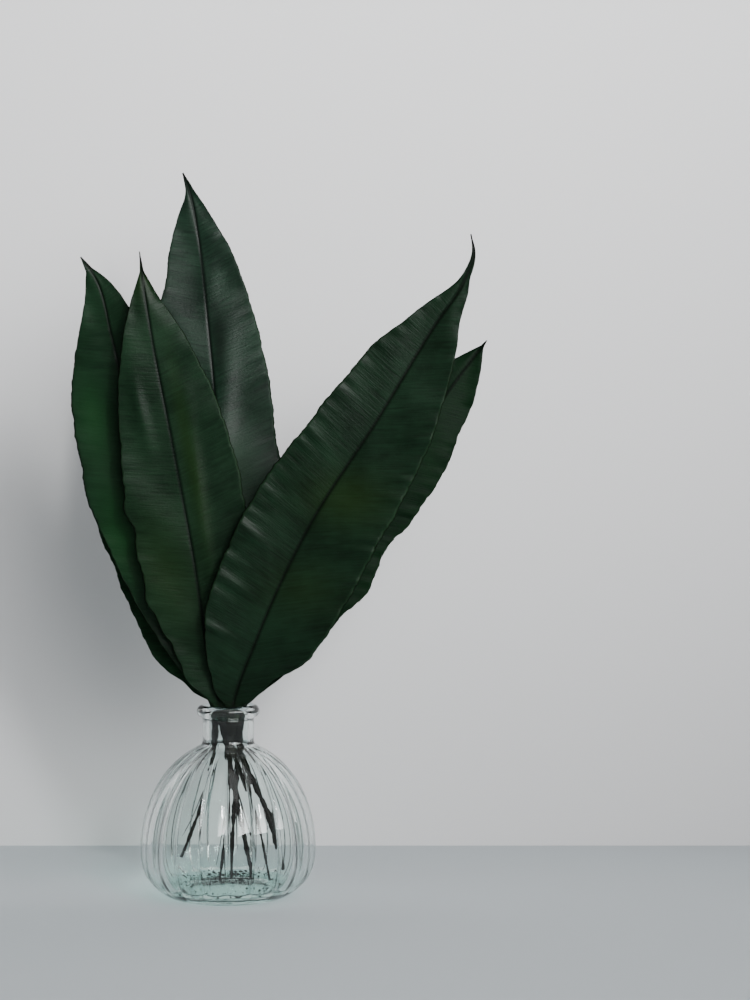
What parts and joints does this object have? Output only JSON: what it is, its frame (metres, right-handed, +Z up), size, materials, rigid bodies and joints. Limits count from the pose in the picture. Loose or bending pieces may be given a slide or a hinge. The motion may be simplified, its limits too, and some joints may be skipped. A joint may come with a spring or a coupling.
{
  "type": "vase of long green leaves",
  "caption": "Small clear ribbed glass bud vase holding long dark green strap leaves that stand upright and fan out to both sides.",
  "frame": {"origin": "centre of the vase's flat underside", "axes": "+Z up along the vase's axis; the front of the arrangement looks along -Y"},
  "size_m": [0.2178, 0.0918, 0.3861],
  "materials": {
    "clear_glass": "clear polished glass with a faint green tint",
    "green_leaf": "leathery, satin, with a sunken midrib and fine cross veins"
  },
  "bodies": {
    "root": {"vase": "clear_glass", "leaf_front_right": "green_leaf", "leaf_front_left": "green_leaf", "leaf_left": "green_leaf", "leaf_back_right": "green_leaf", "leaf_back_left": "green_leaf", "leaf_back": "green_leaf"}
  },
  "joints": []
}
